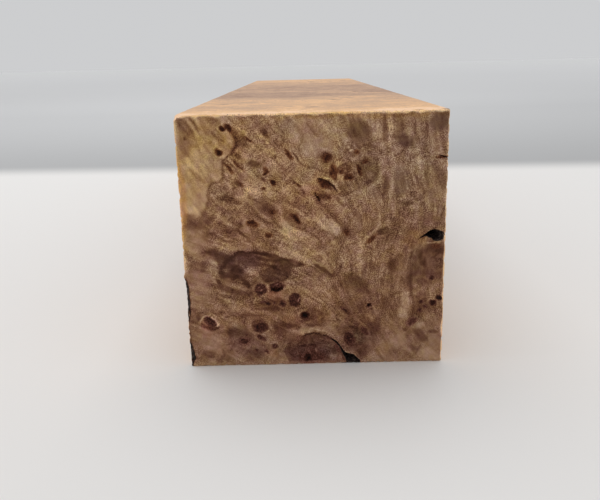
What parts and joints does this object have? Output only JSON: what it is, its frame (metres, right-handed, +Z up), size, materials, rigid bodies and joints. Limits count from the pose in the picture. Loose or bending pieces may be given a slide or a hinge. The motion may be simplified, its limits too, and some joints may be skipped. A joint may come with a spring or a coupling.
{
  "type": "turning blank",
  "caption": "Square spindle blank of figured burl wood with bark pockets in one end, sawn to size for turning between centres on a lathe.",
  "frame": {"origin": "middle of the lower long face, on which the blank lies", "axes": "+Z up, +Y along the blank from the shown end with the bark pockets to the far end, +X to the right seen from the shown end"},
  "size_m": [0.0508, 0.254, 0.0502],
  "materials": {
    "burl_wood": "sawn and lightly sanded, unsealed"
  },
  "bodies": {
    "root": {"burl_blank": "burl_wood"}
  },
  "joints": []
}
